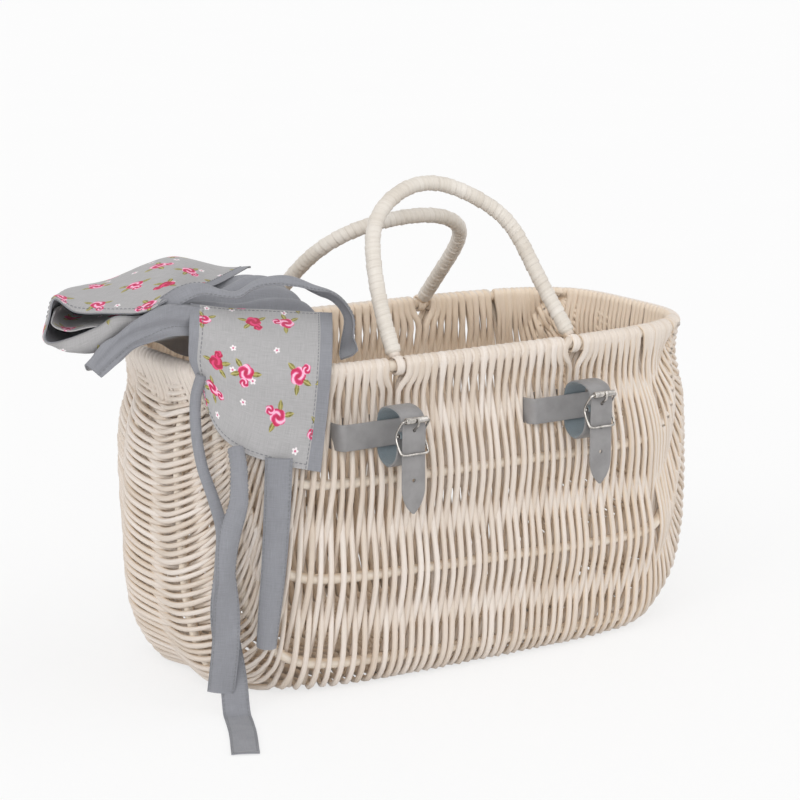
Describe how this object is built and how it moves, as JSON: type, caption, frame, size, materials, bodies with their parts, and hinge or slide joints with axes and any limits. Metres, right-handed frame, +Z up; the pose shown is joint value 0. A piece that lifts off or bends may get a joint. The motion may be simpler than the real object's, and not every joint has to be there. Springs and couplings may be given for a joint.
{
  "type": "wicker bicycle basket",
  "caption": "Bellied oblong willow basket with swinging wrapped handles, buckled leather handlebar straps and a printed cotton cover folded over one end.",
  "frame": {"origin": "on the floor under the middle of the woven base", "axes": "+X along the basket's length to the viewer's right, +Z up, the straps face -Y"},
  "size_m": [0.578, 0.3046, 0.3765],
  "materials": {
    "willow": "pale peeled willow, satin",
    "skein": "split willow skein, satin",
    "leather": "grey grained leather, matt",
    "nickel": "nickel plated wire",
    "print": "printed cotton",
    "lining": "plain grey cotton"
  },
  "bodies": {
    "basket": {"rim_hoop": "willow", "front_upper_rib": "willow", "front_lower_rib": "willow", "front_heel_rib": "willow", "front_base_rib": "willow", "back_upper_rib": "willow", "back_lower_rib": "willow", "back_heel_rib": "willow", "back_base_rib": "willow", "front_rim_course": "willow", "front_middle_course": "willow", "front_lower_course": "willow", "front_base_course": "willow", "middle_base_course": "willow", "back_base_course": "willow", "back_lower_course": "willow", "back_middle_course": "willow", "back_rim_course": "willow", "back_rim_wrap": "willow", "left_rim_wrap": "willow", "front_rim_wrap": "willow", "right_rim_wrap": "willow", "left_strap_band": "leather", "right_strap_band": "leather"},
    "front_handle": {"front_handle_rod": "willow", "front_handle_winding": "skein"},
    "back_handle": {"back_handle_rod": "willow", "back_handle_winding": "skein"},
    "cover": {"cover_fold": "print", "cover_lining": "lining", "cover_flap": "print", "long_tie": "lining", "corner_tie": "lining", "front_tie": "lining", "upper_tie": "lining"},
    "left_buckle_strap": {"left_strap": "leather", "left_buckle_frame": "nickel"},
    "left_roller": {"left_buckle_roller": "nickel"},
    "left_pin": {"left_buckle_pin": "nickel"},
    "right_buckle_strap": {"right_strap": "leather", "right_buckle_frame": "nickel"},
    "right_roller": {"right_buckle_roller": "nickel"},
    "right_pin": {"right_buckle_pin": "nickel"}
  },
  "joints": [
    {"name": "front_handle_swing", "type": "hinge", "parent": "basket", "child": "front_handle", "pos_m": [0, -0.10749, 0.246], "axis": [1, 0, 0], "range_deg": [-8, 127]},
    {"name": "back_handle_swing", "type": "hinge", "parent": "basket", "child": "back_handle", "pos_m": [0, 0.10749, 0.246], "axis": [1, 0, 0], "range_deg": [-145, 0]},
    {"name": "left_strap_slide", "type": "slide", "parent": "basket", "child": "left_buckle_strap", "axis": [1, 0, 0], "range_m": [-0.024, 0]},
    {"name": "left_roller_spin", "type": "hinge", "parent": "left_buckle_strap", "child": "left_roller", "pos_m": [-0.093, -0.15288, 0.2145], "axis": [1, 0, 0], "continuous": true},
    {"name": "left_pin_tilt", "type": "hinge", "parent": "left_buckle_strap", "child": "left_pin", "pos_m": [-0.093, -0.14478, 0.202], "axis": [1, 0, 0], "range_deg": [0, 12]},
    {"name": "right_strap_slide", "type": "slide", "parent": "basket", "child": "right_buckle_strap", "axis": [1, 0, 0], "range_m": [-0.024, 0]},
    {"name": "right_roller_spin", "type": "hinge", "parent": "right_buckle_strap", "child": "right_roller", "pos_m": [0.077, -0.15339, 0.2145], "axis": [1, 0, 0], "continuous": true},
    {"name": "right_pin_tilt", "type": "hinge", "parent": "right_buckle_strap", "child": "right_pin", "pos_m": [0.077, -0.14529, 0.202], "axis": [1, 0, 0], "range_deg": [0, 12]},
    {"name": "cover_lift", "type": "slide", "parent": "basket", "child": "cover", "axis": [0, 0, 1], "range_m": [0, 0.3]}
  ]
}
